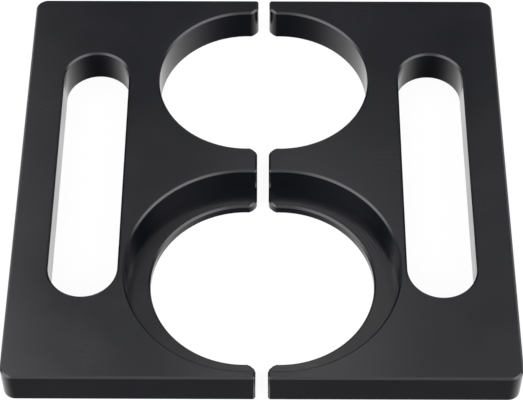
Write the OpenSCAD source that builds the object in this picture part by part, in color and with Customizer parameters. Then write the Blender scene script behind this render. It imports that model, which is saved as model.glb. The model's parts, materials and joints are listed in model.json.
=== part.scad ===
// Two-plate watch movement holder.
// Two loose, mirror-image plates lie side by side with a narrow gap between them.
// Their facing sides form a plain round hole at the back, and at the front a stepped one:
// a flat-bottomed recess for the rim of a movement, over a smaller through hole.
// Origin: on the surface that the plates lie on, at the middle of the pair. +Y is the back.

/* [Plates] */
// Width of one plate, from its gap face to its outer side
plate_w = 30.5; // [30:0.5:34]
// Depth of a plate, front to back
plate_d = 61; // [61:1:66]
// Thickness of a plate
plate_t = 5; // [4:0.5:10]
// Radius of a plate's two outer corners, seen from above
corner_r = 1.6; // [0.5:0.1:3]
// Gap between the two plates as they lie
gap = 1.5; // [0:0.1:4]

/* [Slots] */
// Width of the long slot
slot_w = 8.6; // [6:0.2:8.6]
// Length of the long slot, end to end
slot_l = 39.3; // [20:0.1:44]
// Distance from the gap face to the slot's centre line
slot_x = 21.5; // [21.4:0.1:22.5]
// How far the slot's middle lies behind the plate's middle
slot_y = 0.95; // [-1:0.05:2]

/* [Holes] */
// How far inside the plate every arc has its centre, from the gap face
arc_inset = 1.35; // [0:0.05:1.4]
// Diameter of the plain hole
hole_d = 23.5; // [18:0.1:24.5]
// Distance of the plain hole behind the middle
hole_y = 16.3; // [15.5:0.1:17]
// Diameter of the recess of the stepped hole
recess_d = 30; // [26:0.1:30.2]
// Diameter of the through hole under the recess
inner_d = 23.8; // [18:0.1:25]
// Distance of the stepped hole in front of the middle
recess_y = 14.35; // [13.5:0.05:14.5]
// Thickness of the ledge left under the recess
ledge_t = 1.5; // [0.8:0.1:2.5]

/* [Edges] */
// Leg of the 45 degree cut where a through hole meets the gap face
corner_cut = 0.9; // [0.3:0.1:1.2]
// Leg of the small bevel that breaks every sharp edge
edge_break = 0.25; // [0.05:0.05:0.25]

/* [Hidden] */
$fn = 96;
plate_colour = "#343537";
past = 1;                    // how far a cutter runs past the face that it opens

// Section of a through cut, from its middle out: straight wall, both mouths bevelled
function cut_section(half, low, high) = [
    [0, low - past],
    [half + edge_break + past, low - past],
    [half, low + edge_break],
    [half, high - edge_break],
    [half + edge_break + past, high + past],
    [0, high + past],
];

// Section of a blind cut with a flat floor, from its middle out: only its upper mouth is bevelled
function pocket_section(half, floor, high) = [
    [0, floor],
    [half, floor],
    [half, high - edge_break],
    [half + edge_break + past, high + past],
    [0, high + past],
];

// Section of a slab of the given half width, both outer edges bevelled
function slab_section(half) = [
    [0, 0],
    [half - edge_break, 0],
    [half, edge_break],
    [half, plate_t - edge_break],
    [half - edge_break, plate_t],
    [0, plate_t],
];

// A bar along +Y whose section is drawn in X and Z
module bar_along_y(from_y, to_y) {
    translate([0, to_y, 0]) rotate([90, 0, 0]) linear_extrude(to_y - from_y) children();
}

// A bar along +X whose section is drawn in Y and Z
module bar_along_x(length) {
    rotate([90, 0, 90]) linear_extrude(length) children();
}

// The slab before it is cut: bevelled outer edges and round outer corners
module slab() {
    straight_y = plate_d / 2 - corner_r;
    straight_x = plate_w - corner_r;
    bar_along_y(-straight_y, straight_y) polygon(slab_section(plate_w));
    bar_along_x(straight_x) {
        polygon(slab_section(plate_d / 2));
        mirror([1, 0]) polygon(slab_section(plate_d / 2));
    }
    for (side = [-1, 1]) {
        translate([straight_x, side * straight_y, 0]) rotate_extrude() polygon(slab_section(corner_r));
    }
}

// The bevels round the gap face
module gap_face_breaks() {
    leg = edge_break * sqrt(2);
    for (z = [0, plate_t]) {
        translate([0, 0, z]) rotate([0, 45, 0]) cube([leg, plate_d + 2 * past, leg], center = true);
    }
    for (side = [-1, 1]) {
        translate([0, side * plate_d / 2, plate_t / 2])
            rotate([0, 0, 45]) cube([leg, leg, plate_t + 2 * past], center = true);
    }
}

// The long slot with round ends
module slot_cut() {
    straight = slot_l / 2 - slot_w / 2;
    section = cut_section(slot_w / 2, 0, plate_t);
    translate([slot_x, slot_y, 0]) {
        bar_along_y(-straight, straight) {
            polygon(section);
            mirror([1, 0]) polygon(section);
        }
        for (side = [-1, 1]) translate([0, side * straight, 0]) rotate_extrude() polygon(section);
    }
}

// A round cut about an arc's centre, with its section drawn from the middle out
module round_cut(y) {
    translate([arc_inset, y, 0]) rotate_extrude() children();
}

// The 45 degree cuts at the two ends of an arc
module corner_cuts(diameter, y, low, high) {
    reach = sqrt(pow(diameter / 2, 2) - pow(arc_inset, 2));
    leg = corner_cut * sqrt(2);
    for (side = [-1, 1]) {
        translate([0, y + side * reach, (low + high) / 2])
            rotate([0, 0, 45]) cube([leg, leg, high - low], center = true);
    }
}

// One plate, from its gap face at x = 0 outwards
module plate() {
    difference() {
        slab();
        gap_face_breaks();
        slot_cut();
        round_cut(hole_y) polygon(cut_section(hole_d / 2, 0, plate_t));
        corner_cuts(hole_d, hole_y, -past, plate_t + past);
        round_cut(-recess_y) polygon(pocket_section(recess_d / 2, ledge_t, plate_t));
        round_cut(-recess_y) polygon(cut_section(inner_d / 2, 0, ledge_t));
        corner_cuts(inner_d, -recess_y, -past, ledge_t + past);
    }
}

module right_plate() {
    color(plate_colour) translate([gap / 2, 0, 0]) plate();
}

module left_plate() {
    color(plate_colour) mirror([1, 0, 0]) translate([gap / 2, 0, 0]) plate();
}

left_plate();
right_plate();
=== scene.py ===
# %% [markdown]
# # A watch movement holder: two loose black plates
# A watchmaker lays a bare movement in a holder like this one to work on it. The holder is two flat
# plates, mirror images of each other, that lie side by side with a narrow gap. Their facing sides are
# cut away: at the back they form a plain round hole, at the front a stepped one, with a flat ledge
# that carries the rim of the movement. Each plate also has a long slot. Nothing joins the plates.
#
# The lesson builds one plate by rule, the way a milling machine cuts it, and gives its black acetal
# the marks of three cutters: a face mill, a boring head and an end mill. The second plate is its
# mirror image.

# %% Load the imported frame
import json
import math

import bmesh
import bpy
from mathutils import Matrix, Vector


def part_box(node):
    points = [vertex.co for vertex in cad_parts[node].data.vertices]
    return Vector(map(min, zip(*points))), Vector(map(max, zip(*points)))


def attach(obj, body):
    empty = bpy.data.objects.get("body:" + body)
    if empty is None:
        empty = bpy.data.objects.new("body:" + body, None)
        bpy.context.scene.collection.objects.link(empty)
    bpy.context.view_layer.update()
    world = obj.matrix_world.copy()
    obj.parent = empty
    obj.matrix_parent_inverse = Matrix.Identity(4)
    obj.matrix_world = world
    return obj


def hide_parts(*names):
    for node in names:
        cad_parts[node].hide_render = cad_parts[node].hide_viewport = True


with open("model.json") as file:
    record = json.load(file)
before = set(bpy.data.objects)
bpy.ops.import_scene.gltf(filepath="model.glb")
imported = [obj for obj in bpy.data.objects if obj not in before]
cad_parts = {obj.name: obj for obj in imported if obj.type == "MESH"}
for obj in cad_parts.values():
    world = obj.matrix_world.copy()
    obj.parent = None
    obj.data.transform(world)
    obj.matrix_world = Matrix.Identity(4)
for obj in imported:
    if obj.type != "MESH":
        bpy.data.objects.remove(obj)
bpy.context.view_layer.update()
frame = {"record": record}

# %% [markdown]
# ## Sizes
# Every size comes from the frame where the frame knows it: the boxes of the two plates, and the
# mounts, which give the radius and the centre of each half-round wall. The others are given here as
# sizes of the plate: the slot, the ledge, the corner radius and the broken edges.

# %% Sizes of a plate
MM = 0.001
plate_low, plate_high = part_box("right_plate")
plate_size = plate_high - plate_low
gap = plate_low.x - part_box("left_plate")[1].x
mounts = {mount["name"]: mount for mount in frame["record"]["mounts"]}
plain_arc = mounts["plain_arc_right"]
recess_arc = mounts["recess_arc_right"]

sizes = {
    "Width": plate_size.x,
    "Depth": plate_size.y,
    "Thickness": plate_size.z,
    "Corner Radius": 1.6 * MM,
    "Slot Width": 8.6 * MM,
    "Slot Length": 39.3 * MM,
    "Slot Across": 21.5 * MM,
    "Slot Back": 0.95 * MM,
    "Arc Inset": plain_arc["pos_m"][0] - gap / 2,
    "Plain Radius": plain_arc["dims"]["r_mm"] * MM,
    "Plain Back": plain_arc["pos_m"][1],
    "Recess Radius": recess_arc["dims"]["r_mm"] * MM,
    "Inner Radius": 11.9 * MM,
    "Step Back": recess_arc["pos_m"][1],
    "Ledge": 1.5 * MM,
    "Corner Cut": 0.9 * MM,
}
edge_break = 0.25 * MM
for name, size in sizes.items():
    print(f"{name:14s} {1000 * size:7.2f} mm")

# %% [markdown]
# ## One helper for every node
# Geometry and material trees are built from the same small call. It adds a node, sets its
# properties, and fills its inputs: a socket becomes a link, a list becomes several links, and
# anything else becomes the input's own value.


# %% The node helper
def add(tree, kind, settings=None, inputs=None):
    """Adds one node with its settings and inputs, and returns it."""
    node = tree.nodes.new(kind)
    for name, value in (settings or {}).items():
        setattr(node, name, value)
    for name, value in (inputs or {}).items():
        sources = value if isinstance(value, list) else [value]
        for source in sources:
            if isinstance(source, bpy.types.NodeSocket):
                tree.links.new(source, node.inputs[name])
            else:
                node.inputs[name].default_value = source
    return node


# %% [markdown]
# ## The plate, cut by rule
# A plate is a slab minus a few straight cutters, so it could be drawn as one outline and extruded.
# But the ledge needs a second height, and the arcs, the slot and the corner cuts all follow from a
# handful of sizes. So the tree works as the machine does: each cutter is an outline (a circle, a
# rounded rectangle, a square on its corner) raised into a prism, and one boolean takes them all away.

# %% The tree and its named inputs
tree = bpy.data.node_groups.new("milled_plate", "GeometryNodeTree")
tree.interface.new_socket("Plate", in_out="OUTPUT", socket_type="NodeSocketGeometry")
identifiers = {}
for name in sizes:
    socket = tree.interface.new_socket(name, in_out="INPUT", socket_type="NodeSocketFloat")
    identifiers[name] = socket.identifier
material_socket = tree.interface.new_socket("Material", in_out="INPUT", socket_type="NodeSocketMaterial")
given = tree.nodes.new("NodeGroupInput").outputs
print("inputs:", len(identifiers) + 1)

# %% A closed prism on any outline
ROUND_STEPS = 192
CORNER_STEPS = 24
WELD = 1e-7


def prism(outline, place, height):
    """Fills an outline, raises it to a closed solid and moves that to its (x, y, z) place."""
    base = add(tree, "GeometryNodeFillCurve", {"mode": "NGONS"}, {"Curve": outline})
    raised = add(
        tree,
        "GeometryNodeExtrudeMesh",
        {"mode": "FACES"},
        {"Mesh": base.outputs[0], "Offset Scale": height, "Individual": False},
    )
    under = add(tree, "GeometryNodeFlipFaces", {}, {"Mesh": base.outputs[0]})
    both = add(tree, "GeometryNodeJoinGeometry", {}, {"Geometry": [raised.outputs[0], under.outputs[0]]})
    closed = add(
        tree, "GeometryNodeMergeByDistance", {}, {"Geometry": both.outputs[0], "Distance": WELD}
    )
    shift = add(tree, "ShaderNodeCombineXYZ", {}, dict(enumerate(place)))
    moved = add(
        tree,
        "GeometryNodeTransform",
        {},
        {"Geometry": closed.outputs[0], "Translation": shift.outputs[0]},
    )
    return moved.outputs[0]


# %% The slab with two round outer corners
half_width = add(
    tree, "ShaderNodeMath", {"operation": "MULTIPLY"}, {0: given["Width"], 1: 0.5}
).outputs[0]
rectangle = add(
    tree,
    "GeometryNodeCurvePrimitiveQuadrilateral",
    {"mode": "RECTANGLE"},
    {"Width": given["Width"], "Height": given["Depth"]},
)
where = add(tree, "GeometryNodeInputPosition")
slab_x = add(tree, "ShaderNodeSeparateXYZ", {}, {0: where.outputs[0]}).outputs["X"]
is_outer = add(tree, "FunctionNodeCompare", {"data_type": "FLOAT"}, {0: slab_x, 1: 0.0}).outputs[0]
corner_radius = add(
    tree, "ShaderNodeMath", {"operation": "MULTIPLY"}, {0: is_outer, 1: given["Corner Radius"]}
).outputs[0]
rounded = add(
    tree,
    "GeometryNodeFilletCurve",
    {"mode": "POLY"},
    {"Curve": rectangle.outputs[0], "Count": CORNER_STEPS, "Radius": corner_radius},
)
slab = prism(rounded.outputs[0], (half_width, 0.0, 0.0), given["Thickness"])
print("slab in mm:", [round(sizes[name] / MM, 2) for name in ("Width", "Depth", "Thickness")])

# %% The slot cutter, a rectangle with fully round ends
PAST = 1.0 * MM
NEARLY_HALF = 0.4999
cut_height = add(
    tree, "ShaderNodeMath", {"operation": "ADD"}, {0: given["Thickness"], 1: 2 * PAST}
).outputs[0]
slot_outline = add(
    tree,
    "GeometryNodeCurvePrimitiveQuadrilateral",
    {"mode": "RECTANGLE"},
    {"Width": given["Slot Width"], "Height": given["Slot Length"]},
)
slot_radius = add(
    tree, "ShaderNodeMath", {"operation": "MULTIPLY"}, {0: given["Slot Width"], 1: NEARLY_HALF}
).outputs[0]
slot_round = add(
    tree,
    "GeometryNodeFilletCurve",
    {"mode": "POLY"},
    {"Curve": slot_outline.outputs[0], "Count": ROUND_STEPS // 4, "Radius": slot_radius},
)
cutters = [prism(slot_round.outputs[0], (given["Slot Across"], given["Slot Back"], -PAST), cut_height)]
print("straight part of the slot in mm:", round((sizes["Slot Length"] - sizes["Slot Width"]) / MM, 2))

# %% The round cutters: plain hole, recess and the hole under it
round_cuts = [
    (given["Plain Radius"], given["Plain Back"], -PAST),
    (given["Inner Radius"], given["Step Back"], -PAST),
    (given["Recess Radius"], given["Step Back"], given["Ledge"]),
]
for radius, centre_y, low in round_cuts:
    ring = add(
        tree,
        "GeometryNodeCurvePrimitiveCircle",
        {"mode": "RADIUS"},
        {"Resolution": ROUND_STEPS, "Radius": radius},
    )
    cutters.append(prism(ring.outputs[0], (given["Arc Inset"], centre_y, low), cut_height))
print("round cutters:", len(round_cuts))

# %% The corner cuts: a square on its corner wherever a through hole meets the gap face
ledge_height = add(
    tree, "ShaderNodeMath", {"operation": "ADD"}, {0: given["Ledge"], 1: 2 * PAST}
).outputs[0]
square_side = add(
    tree, "ShaderNodeMath", {"operation": "MULTIPLY"}, {0: given["Corner Cut"], 1: math.sqrt(2)}
).outputs[0]
square = add(
    tree,
    "GeometryNodeCurvePrimitiveQuadrilateral",
    {"mode": "RECTANGLE"},
    {"Width": square_side, "Height": square_side},
)
on_corner = add(
    tree,
    "GeometryNodeTransform",
    {},
    {"Geometry": square.outputs[0], "Rotation": (0.0, 0.0, math.radians(45))},
)
inset_squared = add(
    tree, "ShaderNodeMath", {"operation": "POWER"}, {0: given["Arc Inset"], 1: 2.0}
).outputs[0]
through_holes = [
    (given["Plain Radius"], given["Plain Back"], cut_height),
    (given["Inner Radius"], given["Step Back"], ledge_height),
]
for radius, centre_y, height in through_holes:
    radius_squared = add(tree, "ShaderNodeMath", {"operation": "POWER"}, {0: radius, 1: 2.0}).outputs[0]
    half_opening_squared = add(
        tree, "ShaderNodeMath", {"operation": "SUBTRACT"}, {0: radius_squared, 1: inset_squared}
    ).outputs[0]
    half_opening = add(
        tree, "ShaderNodeMath", {"operation": "SQRT"}, {0: half_opening_squared}
    ).outputs[0]
    for way in ("ADD", "SUBTRACT"):
        end = add(
            tree, "ShaderNodeMath", {"operation": way}, {0: centre_y, 1: half_opening}
        ).outputs[0]
        cutters.append(prism(on_corner.outputs[0], (0.0, end, -PAST), height))
print("cutters:", len(cutters))

# %% Take the cutters away, and clean off the slivers that two nearly touching cuts leave
SLIVER = 5e-6
cut = add(
    tree,
    "GeometryNodeMeshBoolean",
    {"operation": "DIFFERENCE", "solver": "MANIFOLD"},
    {"Mesh 1": slab, "Mesh 2": cutters},
)
clean = add(
    tree, "GeometryNodeMergeByDistance", {}, {"Geometry": cut.outputs["Mesh"], "Distance": SLIVER}
)
print("slivers under this many mm are merged:", SLIVER / MM)

# %% Mark the edges that stick out: only those get broken, never the corner under the recess wall
SHARP = math.radians(30)
fold = add(tree, "GeometryNodeInputMeshEdgeAngle").outputs["Signed Angle"]
sticks_out = add(tree, "FunctionNodeCompare", {"data_type": "FLOAT"}, {0: fold, 1: SHARP}).outputs[0]
marked = add(
    tree,
    "GeometryNodeStoreNamedAttribute",
    {"data_type": "FLOAT", "domain": "EDGE"},
    {"Geometry": clean.outputs[0], "Name": "bevel_weight_edge", "Value": sticks_out},
)
real = add(tree, "GeometryNodeRealizeInstances", {}, {"Geometry": marked.outputs[0]})
finished = add(
    tree, "GeometryNodeSetMaterial", {}, {"Geometry": real.outputs[0], "Material": given["Material"]}
)
add(tree, "NodeGroupOutput", {}, {"Plate": finished.outputs[0]})
print("nodes in the tree:", len(tree.nodes))

# %% [markdown]
# ## Black acetal
# The plates are machined from black acetal, a hard, slippery engineering plastic. It is coloured
# through with carbon black, so next to no light comes back from inside it, and what does is a little
# blue. What the eye sees is the reflection off its surface: about four per cent head on and far more
# at a glancing angle, which is why a wall looks black from the front and silver from the side.

# %% Colours of the plastic
def linear(hex_colour):
    """An sRGB hex colour as the linear values that a shader works in."""
    channels = [int(hex_colour[start:start + 2], 16) / 255 for start in (1, 3, 5)]
    straight = [c / 12.92 if c <= 0.04045 else ((c + 0.055) / 1.055) ** 2.4 for c in channels]
    return (*straight, 1.0)


ACETAL_DARK = "#07080d"
ACETAL_LIGHT = "#0b0c13"
ACETAL_IOR = 1.48
acetal = bpy.data.materials.new("machined_black_acetal")
acetal.use_nodes = True
finish = acetal.node_tree
finish.nodes.clear()
print("darkest colour, linear:", [round(value, 4) for value in linear(ACETAL_DARK)])

# %% [markdown]
# ## Marks of three cutters
# A face mill went over the top and the underside and left wide, very shallow arcs. A boring head
# turned the ledge and left fine rings round the centre of the hole. An end mill cut the walls and
# left upright lines. They could be three materials, but it is one plastic, so one material asks
# each point which way it faces and how high it lies. The two plates mirror each other, so the
# patterns read the distance from the middle of the gap, which is the same on both.

# %% Where a point lies
place = add(finish, "ShaderNodeTexCoord")
position = add(finish, "ShaderNodeSeparateXYZ", {}, {0: place.outputs["Object"]}).outputs
facing = add(finish, "ShaderNodeSeparateXYZ", {}, {0: place.outputs["Normal"]}).outputs["Z"]
flatness = add(finish, "ShaderNodeMath", {"operation": "ABSOLUTE"}, {0: facing}).outputs[0]
WALL_BELOW = 0.85
FLAT_ABOVE = 0.98
outward = add(finish, "ShaderNodeMath", {"operation": "ABSOLUTE"}, {0: position["X"]}).outputs[0]
level = add(
    finish,
    "ShaderNodeMapRange",
    {},
    {"Value": flatness, "From Min": WALL_BELOW, "From Max": FLAT_ABOVE},
).outputs["Result"]
LEDGE_BAND = 0.5 * MM
on_ledge = add(
    finish,
    "ShaderNodeMath",
    {"operation": "COMPARE"},
    {0: position["Z"], 1: sizes["Ledge"], 2: LEDGE_BAND},
).outputs[0]
print("ledge level in mm:", round(sizes["Ledge"] / MM, 2))

# %% Arcs of the face mill: the cutter's radius sets the curve, its feed sets the spacing
MILL_RADIUS = 25 * MM
MILL_FEED = 0.9 * MM  # drawn coarser than a real finishing feed, which is too fine to see
aside = add(
    finish, "ShaderNodeMath", {"operation": "SUBTRACT"}, {0: outward, 1: (gap + sizes["Width"]) / 2}
).outputs[0]
aside_squared = add(
    finish, "ShaderNodeMath", {"operation": "MULTIPLY"}, {0: aside, 1: aside}
).outputs[0]
rise_squared = add(
    finish, "ShaderNodeMath", {"operation": "SUBTRACT"}, {0: MILL_RADIUS**2, 1: aside_squared}
).outputs[0]
rise = add(finish, "ShaderNodeMath", {"operation": "SQRT"}, {0: rise_squared}).outputs[0]
along = add(finish, "ShaderNodeMath", {"operation": "ADD"}, {0: position["Y"], 1: rise}).outputs[0]
arc_phase = add(
    finish, "ShaderNodeMath", {"operation": "MULTIPLY"}, {0: along, 1: math.tau / MILL_FEED}
).outputs[0]
arcs = add(finish, "ShaderNodeMath", {"operation": "SINE"}, {0: arc_phase}).outputs[0]
print("arcs along a plate:", round(sizes["Depth"] / MILL_FEED))

# %% Rings of the boring head, round the centre of the stepped hole
BORE_FEED = 0.45 * MM  # drawn coarser than the real rings, as the arcs are
hole_centre = (gap / 2 + sizes["Arc Inset"], sizes["Step Back"], 0.0)
from_gap = add(
    finish, "ShaderNodeCombineXYZ", {}, {"X": outward, "Y": position["Y"], "Z": 0.0}
).outputs[0]
ring_radius = add(
    finish, "ShaderNodeVectorMath", {"operation": "DISTANCE"}, {0: from_gap, 1: hole_centre}
).outputs["Value"]
ring_phase = add(
    finish, "ShaderNodeMath", {"operation": "MULTIPLY"}, {0: ring_radius, 1: math.tau / BORE_FEED}
).outputs[0]
rings = add(finish, "ShaderNodeMath", {"operation": "SINE"}, {0: ring_phase}).outputs[0]
print("rings on the ledge:", round((sizes["Recess Radius"] - sizes["Inner Radius"]) / BORE_FEED))

# %% Upright lines of the end mill: a noise that is stretched along the tool
WALL_LINE = 0.3 * MM
LINE_STRETCH = 25
stretched = add(
    finish,
    "ShaderNodeMapping",
    {},
    {"Vector": place.outputs["Object"], "Scale": (1.0, 1.0, 1 / LINE_STRETCH)},
).outputs[0]
lines = add(
    finish,
    "ShaderNodeTexNoise",
    {},
    {"Vector": stretched, "Scale": 1 / WALL_LINE, "Detail": 3.0, "Roughness": 0.6},
).outputs["Fac"]
print("length of a wall line in mm:", round(WALL_LINE * LINE_STRETCH / MM, 2))

# %% One height from the three, fainter in patches, with the plastic's own grain
PATCH = 9 * MM
GRAIN = 0.12 * MM
MARKS_START = 0.42
MARKS_FULL = 0.68
MARK_DEPTH = 0.0012 * MM
GRAIN_DEPTH = 0.001 * MM
GRAIN_STRENGTH = 0.6
level_marks = add(
    finish, "ShaderNodeMix", {"data_type": "FLOAT"}, {0: on_ledge, 2: arcs, 3: rings}
).outputs[0]
patches = add(
    finish,
    "ShaderNodeTexNoise",
    {},
    {"Vector": place.outputs["Object"], "Scale": 1 / PATCH, "Detail": 4.0, "Roughness": 0.55},
).outputs["Fac"]
strength = add(
    finish,
    "ShaderNodeMapRange",
    {},
    {"Value": patches, "From Min": MARKS_START, "From Max": MARKS_FULL},
).outputs["Result"]
faded_marks = add(
    finish, "ShaderNodeMath", {"operation": "MULTIPLY"}, {0: level_marks, 1: strength}
).outputs[0]
marks = add(
    finish, "ShaderNodeMix", {"data_type": "FLOAT"}, {0: level, 2: lines, 3: faded_marks}
).outputs[0]
grain = add(
    finish,
    "ShaderNodeTexNoise",
    {},
    {"Vector": place.outputs["Object"], "Scale": 1 / GRAIN, "Detail": 2.0, "Roughness": 0.5},
).outputs["Fac"]
cut_bump = add(
    finish, "ShaderNodeBump", {}, {"Height": marks, "Strength": 1.0, "Distance": MARK_DEPTH}
).outputs["Normal"]
bump = add(
    finish,
    "ShaderNodeBump",
    {},
    {
        "Height": grain,
        "Strength": GRAIN_STRENGTH,
        "Distance": GRAIN_DEPTH,
        "Normal": cut_bump,
    },
).outputs["Normal"]
print("depth of the marks in thousandths of a mm:", round(1000 * MARK_DEPTH / MM, 2))

# %% Gloss and colour: walls and broken edges are sliced cleaner than the face-milled top
WALL_ROUGHNESS = 0.2
TOP_ROUGHNESS = 0.25
HANDLING = 0.03
SMUDGE_LOW = 0.3
SMUDGE_HIGH = 0.7
cutter_gloss = add(
    finish,
    "ShaderNodeMapRange",
    {},
    {"Value": level, "To Min": WALL_ROUGHNESS, "To Max": TOP_ROUGHNESS},
).outputs["Result"]
smudge = add(
    finish,
    "ShaderNodeMapRange",
    {},
    {
        "Value": patches,
        "From Min": SMUDGE_LOW,
        "From Max": SMUDGE_HIGH,
        "To Min": -HANDLING,
        "To Max": HANDLING,
    },
).outputs["Result"]
gloss = add(finish, "ShaderNodeMath", {"operation": "ADD"}, {0: cutter_gloss, 1: smudge}).outputs[0]
colour = add(
    finish,
    "ShaderNodeMix",
    {"data_type": "RGBA"},
    {0: patches, 6: linear(ACETAL_DARK), 7: linear(ACETAL_LIGHT)},
).outputs[2]
surface = add(
    finish,
    "ShaderNodeBsdfPrincipled",
    {},
    {"Base Color": colour, "Roughness": gloss, "IOR": ACETAL_IOR, "Normal": bump},
)
add(finish, "ShaderNodeOutputMaterial", {}, {"Surface": surface.outputs[0]})
print("nodes in the finish:", len(finish.nodes))

# %% [markdown]
# ## From tree to plates
# The tree gives one plate with its gap face on x = 0. The right plate is that mesh moved out by half
# the gap, and the left one is its mirror image. Mirroring turns a mesh inside out, so its normals are
# worked out again.
# Nobody leaves such edges sharp, so a narrow flat bevel breaks them all. It could be cut in the
# tree, but the Bevel modifier does it on straight and curved edges alike, where the tree marked them.

# %% Run the tree once
maker = bpy.data.objects.new("maker", bpy.data.meshes.new("empty"))
bpy.context.scene.collection.objects.link(maker)
milling = maker.modifiers.new("milled_plate", "NODES")
milling.node_group = tree
for name, size in sizes.items():
    milling[identifiers[name]] = size
milling[material_socket.identifier] = acetal
depsgraph = bpy.context.evaluated_depsgraph_get()
plate_mesh = bpy.data.meshes.new_from_object(maker.evaluated_get(depsgraph), depsgraph=depsgraph)
bpy.data.objects.remove(maker)
print("faces before the edges are broken:", len(plate_mesh.polygons))

# %% Place, mirror and break the edges
def finished_plate(name, side):
    """One plate on its side of the gap, as a plain mesh with broken edges."""
    mesh = plate_mesh.copy()
    mesh.transform(Matrix.Translation((gap / 2, 0, 0)))
    if side < 0:
        mesh.transform(Matrix.Scale(-1, 4, (1, 0, 0)))
        shell = bmesh.new()
        shell.from_mesh(mesh)
        bmesh.ops.recalc_face_normals(shell, faces=shell.faces)
        shell.to_mesh(mesh)
        shell.free()
    sharp_plate = bpy.data.objects.new("sharp_plate", mesh)
    bpy.context.scene.collection.objects.link(sharp_plate)
    bevel = sharp_plate.modifiers.new("broken_edges", "BEVEL")
    bevel.width = edge_break
    bevel.segments = 1
    bevel.limit_method = "WEIGHT"
    bevel.use_clamp_overlap = False
    depsgraph = bpy.context.evaluated_depsgraph_get()
    evaluated = sharp_plate.evaluated_get(depsgraph)
    broken = bpy.data.meshes.new_from_object(evaluated, depsgraph=depsgraph)
    bpy.data.objects.remove(sharp_plate)
    broken.name = name
    broken.shade_smooth()
    broken.set_sharp_from_angle(angle=SHARP)
    plate = bpy.data.objects.new(name, broken)
    bpy.context.scene.collection.objects.link(plate)
    return plate


for name, side in (("left", -1), ("right", 1)):
    plate = finished_plate(f"{name}_acetal_plate", side)
    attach(plate, f"{name}_plate")
    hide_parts(f"{name}_plate")
    print(plate.name, "faces:", len(plate.data.polygons))

# %% [markdown]
# ## Table
# The plates lie on a plain white table that glows a little, as a lit glass table does, so their
# shadows stay faint. A white table would also show in every wall as a grey blur. The real walls are
# near black towards the front and silver towards the back, so the table is left out of reflections,
# and the walls mirror the studio round it instead.

# %% The table
TABLE_REACH = 6.0
TABLE_GLOW = 0.92
TABLE_DROP = 0.02 * MM  # keeps the table's face and the undersides from lying in one plane
table_mesh = bpy.data.meshes.new("table")
table_corners = [
    (x * TABLE_REACH, y * TABLE_REACH, -TABLE_DROP) for x, y in ((-1, -1), (1, -1), (1, 1), (-1, 1))
]
table_mesh.from_pydata(table_corners, [], [(0, 1, 2, 3)])
table = bpy.data.objects.new("table", table_mesh)
bpy.context.scene.collection.objects.link(table)
table.visible_glossy = False
table.visible_diffuse = False
lit_glass = bpy.data.materials.new("lit_white_glass")
lit_glass.use_nodes = True
lit_glass.node_tree.nodes.clear()
glass = add(
    lit_glass.node_tree,
    "ShaderNodeBsdfPrincipled",
    {},
    {
        "Base Color": linear("#5a5a5a"),
        "Roughness": 1.0,
        "Specular IOR Level": 0.0,
        "Emission Color": linear("#ffffff"),
        "Emission Strength": TABLE_GLOW,
    },
)
add(lit_glass.node_tree, "ShaderNodeOutputMaterial", {}, {"Surface": glass.outputs[0]})
table_mesh.materials.append(lit_glass)
print("table side in m:", 2 * TABLE_REACH)

# %% [markdown]
# ## Soft light from all round
# A black plate shows what it mirrors and little else, so the studio is drawn first: how bright it
# is in each direction. Below, it goes from dark in front to white behind, and it is dark again at the
# very back, so a broken edge that faces away stays dark. Above, it is grey near the horizon and dark
# overhead. Two large soft panels stand in front, left and right, and a weaker one between them. They
# draw the light line along the broken edges that face the front. Where the table ends, the camera
# sees a plain pale backdrop instead of all this.

# %% Brightness below and above the horizon
BELOW = [
    (-0.65, 0.05),
    (-0.45, 0.21),
    (-0.2, 0.58),
    (0.1, 0.83),
    (0.4, 0.97),
    (0.68, 0.97),
    (0.78, 0.08),
]
BELOW_LIGHT = 1.5
ABOVE = [(0.1, 0.9), (0.4, 0.9), (0.7, 0.16), (0.95, 0.0)]
ABOVE_LIGHT = 0.5
HORIZON_BLUR = 0.03
studio = bpy.data.worlds.new("studio")
bpy.context.scene.world = studio
studio.use_nodes = True
sky = studio.node_tree
sky.nodes.clear()
direction = add(sky, "ShaderNodeTexCoord").outputs["Generated"]
toward = add(sky, "ShaderNodeSeparateXYZ", {}, {0: direction}).outputs
halves = []
for axis, stops, light in (("Y", BELOW, BELOW_LIGHT), ("Z", ABOVE, ABOVE_LIGHT)):
    ramp = add(sky, "ShaderNodeValToRGB")
    share = add(
        sky, "ShaderNodeMapRange", {}, {"Value": toward[axis], "From Min": -1.0, "From Max": 1.0}
    ).outputs["Result"]
    sky.links.new(share, ramp.inputs["Fac"])
    while len(ramp.color_ramp.elements) < len(stops):
        ramp.color_ramp.elements.new(0.5)
    for element, (stop, bright) in zip(ramp.color_ramp.elements, stops):
        element.position = (stop + 1) / 2
        element.color = (bright, bright, bright, 1)
    half = add(sky, "ShaderNodeMath", {"operation": "MULTIPLY"}, {0: ramp.outputs[0], 1: light})
    halves.append(half.outputs[0])
is_above = add(
    sky,
    "ShaderNodeMapRange",
    {},
    {"Value": toward["Z"], "From Min": -HORIZON_BLUR, "From Max": HORIZON_BLUR},
).outputs["Result"]
total = add(
    sky, "ShaderNodeMix", {"data_type": "FLOAT"}, {0: is_above, 2: halves[0], 3: halves[1]}
).outputs[0]
print("stops below and above:", len(BELOW), len(ABOVE))

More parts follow.
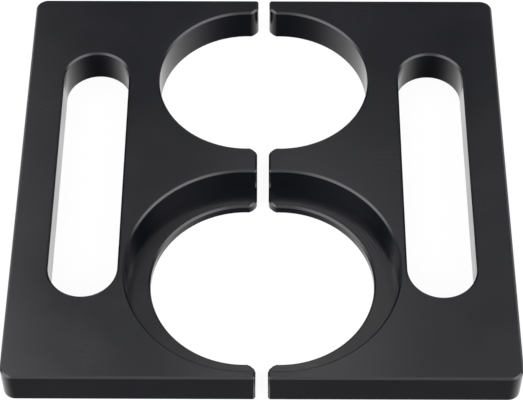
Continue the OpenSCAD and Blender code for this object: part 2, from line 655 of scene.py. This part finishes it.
# %% The soft panels: direction of the middle, cosines where each one starts and is full, brightness
PANELS = {
    "right": ((0.80, -0.40, 0.47), 0.72, 0.97, 5.0),
    "left": ((-0.80, -0.40, 0.47), 0.72, 0.97, 5.0),
    "front": ((0.0, -0.70, 0.71), 0.85, 0.98, 1.7),
}
for middle, edge, full, light in PANELS.values():
    closeness = add(
        sky,
        "ShaderNodeVectorMath",
        {"operation": "DOT_PRODUCT"},
        {0: direction, 1: Vector(middle).normalized()},
    ).outputs["Value"]
    panel = add(
        sky,
        "ShaderNodeMapRange",
        {"interpolation_type": "SMOOTHSTEP"},
        {"Value": closeness, "From Min": edge, "From Max": full, "To Max": light},
    ).outputs["Result"]
    total = add(sky, "ShaderNodeMath", {"operation": "ADD"}, {0: total, 1: panel}).outputs[0]
PLAIN_BACKDROP = 1.2  # what the camera sees above the table's far edge, instead of the studio
seen_directly = add(sky, "ShaderNodeLightPath").outputs["Is Camera Ray"]
shown = add(
    sky, "ShaderNodeMix", {"data_type": "FLOAT"}, {0: seen_directly, 2: total, 3: PLAIN_BACKDROP}
).outputs[0]
background = add(sky, "ShaderNodeBackground", {}, {"Strength": shown})
add(sky, "ShaderNodeOutputWorld", {}, {"Surface": background.outputs[0]})
print("soft panels:", len(PANELS))

# %% [markdown]
# ## Strip lights over the back
# The tops are brighter towards the front, along the gap and at the left side than in the back
# corners. Three narrow strip lights half a metre up do that. They hang behind the plates, each in
# two lengths, and each length puts a soft patch of light where the top mirrors it.

# %% Three strips, each with a front and a back length: place across, then the two powers
STRIPS = {
    "left": (-0.168, 0.29, 0.076),
    "middle": (0.011, 0.115, 0.012),
    "right": (0.176, 0.14, 0.05),
}
STRIP_HEIGHT = 0.505
STRIP_WIDTH = 0.05
STRIP_LENGTH = 0.17
FRONT_LENGTH_Y = 0.27
BACK_LENGTH_Y = 0.46
for name, (strip_x, *powers) in STRIPS.items():
    for part, strip_y, power in zip(("front", "back"), (FRONT_LENGTH_Y, BACK_LENGTH_Y), powers):
        strip = bpy.data.lights.new(f"{name}_strip_{part}", "AREA")
        strip.shape = "RECTANGLE"
        strip.size = STRIP_WIDTH
        strip.size_y = STRIP_LENGTH
        strip.energy = power
        lamp = bpy.data.objects.new(strip.name, strip)
        lamp.location = (strip_x, strip_y, STRIP_HEIGHT)
        lamp.rotation_euler = (-lamp.location).to_track_quat("-Z", "Y").to_euler()
        bpy.context.scene.collection.objects.link(lamp)
print("strip lights:", 2 * len(STRIPS))

# %% [markdown]
# ## Camera
# The camera looks down on the pair from the front, from about four times the pair's width away, so
# the front edge is clearly wider than the back one.

# %% Place the camera
LENS = 131.64
CAMERA_DISTANCE = 249.46 * MM
AIM = Vector((0.48, 0.47, 0.0)) * MM
ELEVATION = math.radians(52.887)
AZIMUTH = math.radians(0.254)
ROLL = math.radians(-0.032)
SHIFT = (-0.00976, -0.00826)

backward = Vector(
    (
        math.sin(AZIMUTH) * math.cos(ELEVATION),
        -math.cos(AZIMUTH) * math.cos(ELEVATION),
        math.sin(ELEVATION),
    )
)
sideways = Vector((math.cos(AZIMUTH), math.sin(AZIMUTH), 0.0))
upward = backward.cross(sideways)
right = sideways * math.cos(ROLL) + upward * math.sin(ROLL)
up = upward * math.cos(ROLL) - sideways * math.sin(ROLL)
camera_data = bpy.data.cameras.new("camera")
camera_data.lens = LENS
camera_data.shift_x, camera_data.shift_y = SHIFT
camera_data.clip_start = 0.01
camera_data.clip_end = 20.0
camera = bpy.data.objects.new("camera", camera_data)
turn = Matrix((right, up, backward)).transposed().to_4x4()
camera.matrix_world = Matrix.Translation(AIM + backward * CAMERA_DISTANCE) @ turn
bpy.context.scene.collection.objects.link(camera)
bpy.context.scene.camera = camera
bpy.context.scene.view_settings.view_transform = "Standard"
print("camera distance in mm:", round(CAMERA_DISTANCE / MM, 1))
